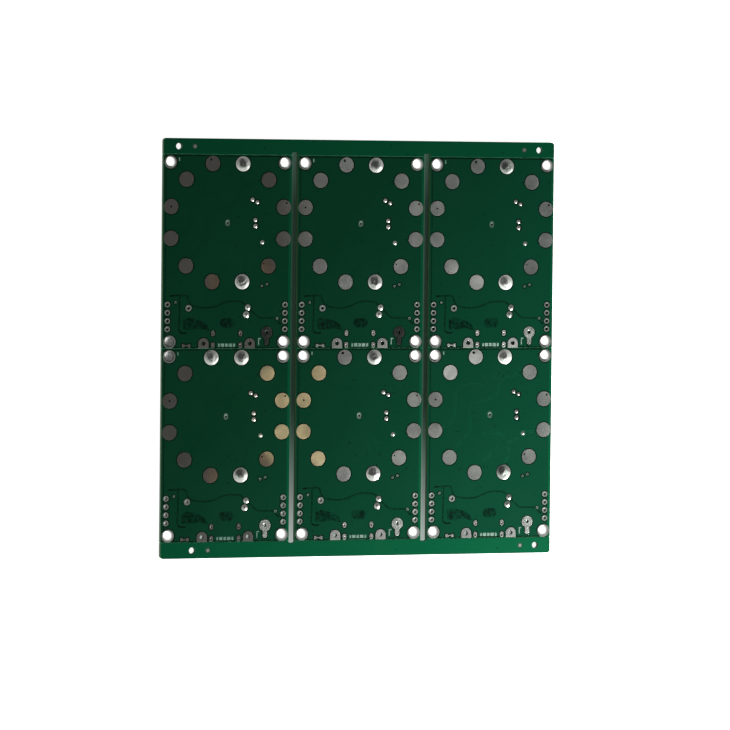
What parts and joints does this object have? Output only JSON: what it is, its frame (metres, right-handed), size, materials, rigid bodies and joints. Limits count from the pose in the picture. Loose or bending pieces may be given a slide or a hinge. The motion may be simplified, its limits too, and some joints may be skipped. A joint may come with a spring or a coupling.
{
  "type": "printed circuit board panel",
  "caption": "Flat bare circuit board panel: equal boards with round contact pads and plated holes, held by V grooves and slots between two rails.",
  "frame": {"origin": "middle of the panel on its back face", "axes": "+X to the right and +Y to the boards' upper edge, along their height; +Z out of the front face, which carries the contact pads"},
  "size_m": [0.1288, 0.13, 0.0019],
  "materials": {
    "laminate": "matte cut glass-epoxy laminate",
    "solder_mask": "semi-gloss green solder mask",
    "tin": "levelled tin, satin, brighter where it is domed",
    "copper": "etched foil under the mask",
    "ink": "matte white legend ink"
  },
  "bodies": {
    "root": {"laminate": "laminate", "rail_mask_front": "solder_mask", "rail_mask_back": "solder_mask", "fiducials": "tin", "board_1_copper_planes": "copper", "board_1_mask_front": "solder_mask", "board_1_mask_back": "solder_mask", "board_1_contact_pads": "tin", "board_1_mounting_sleeves": "tin", "board_1_header_sleeves": "tin", "board_1_vias": "tin", "board_1_edge_pads": "tin", "board_1_legend": "ink", "board_2_copper_planes": "copper", "board_2_mask_front": "solder_mask", "board_2_mask_back": "solder_mask", "board_2_contact_pads": "tin", "board_2_mounting_sleeves": "tin", "board_2_header_sleeves": "tin", "board_2_vias": "tin", "board_2_edge_pads": "tin", "board_2_legend": "ink", "board_3_copper_planes": "copper", "board_3_mask_front": "solder_mask", "board_3_mask_back": "solder_mask", "board_3_contact_pads": "tin", "board_3_mounting_sleeves": "tin", "board_3_header_sleeves": "tin", "board_3_vias": "tin", "board_3_edge_pads": "tin", "board_3_legend": "ink", "board_4_copper_planes": "copper", "board_4_mask_front": "solder_mask", "board_4_mask_back": "solder_mask", "board_4_contact_pads": "tin", "board_4_mounting_sleeves": "tin", "board_4_header_sleeves": "tin", "board_4_vias": "tin", "board_4_edge_pads": "tin", "board_4_legend": "ink", "board_5_copper_planes": "copper", "board_5_mask_front": "solder_mask", "board_5_mask_back": "solder_mask", "board_5_contact_pads": "tin", "board_5_mounting_sleeves": "tin", "board_5_header_sleeves": "tin", "board_5_vias": "tin", "board_5_edge_pads": "tin", "board_5_legend": "ink", "board_6_copper_planes": "copper", "board_6_mask_front": "solder_mask", "board_6_mask_back": "solder_mask", "board_6_contact_pads": "tin", "board_6_mounting_sleeves": "tin", "board_6_header_sleeves": "tin", "board_6_vias": "tin", "board_6_edge_pads": "tin", "board_6_legend": "ink"}
  },
  "joints": []
}
